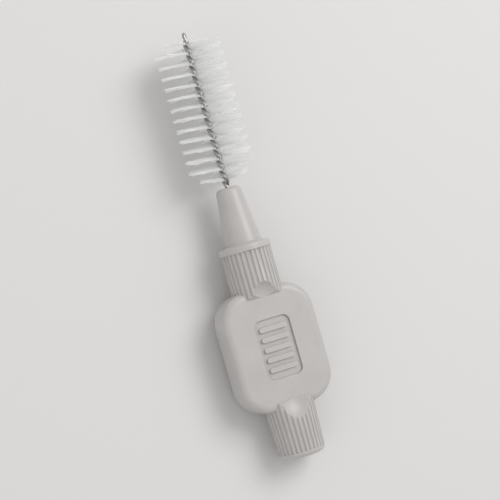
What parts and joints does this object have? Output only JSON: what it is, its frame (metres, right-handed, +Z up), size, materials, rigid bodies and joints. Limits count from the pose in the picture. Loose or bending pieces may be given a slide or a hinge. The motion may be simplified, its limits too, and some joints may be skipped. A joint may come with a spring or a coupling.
{
  "type": "interdental brush",
  "caption": "Small hand-held interdental brush: grey moulded handle with flat thumb pad, ribbed collar and knob, tapered neck, twisted wire and a round tuft of white filaments.",
  "frame": {"origin": "under the middle of the brush's length, level with the lowest bristles", "axes": "+Y along the brush towards the bristle tip, +Z up and square to the flat pad faces, X across the pad"},
  "size_m": [0.0122, 0.0544, 0.0086],
  "materials": {
    "handle_plastic": "satin moulded polypropylene, warm light grey",
    "wire_steel": "bright drawn stainless wire",
    "filament_nylon": "translucent white nylon"
  },
  "bodies": {
    "handle": {"handle": "handle_plastic"},
    "brush_head": {"core_wire": "wire_steel", "bristles": "filament_nylon"}
  },
  "joints": [
    {"name": "neck_bend", "type": "hinge", "parent": "handle", "child": "brush_head", "pos_m": [0, 0.00725, 0.0043], "axis": [1, 0, 0], "range_deg": [-30, 30], "deforming": ["core_wire"]}
  ]
}
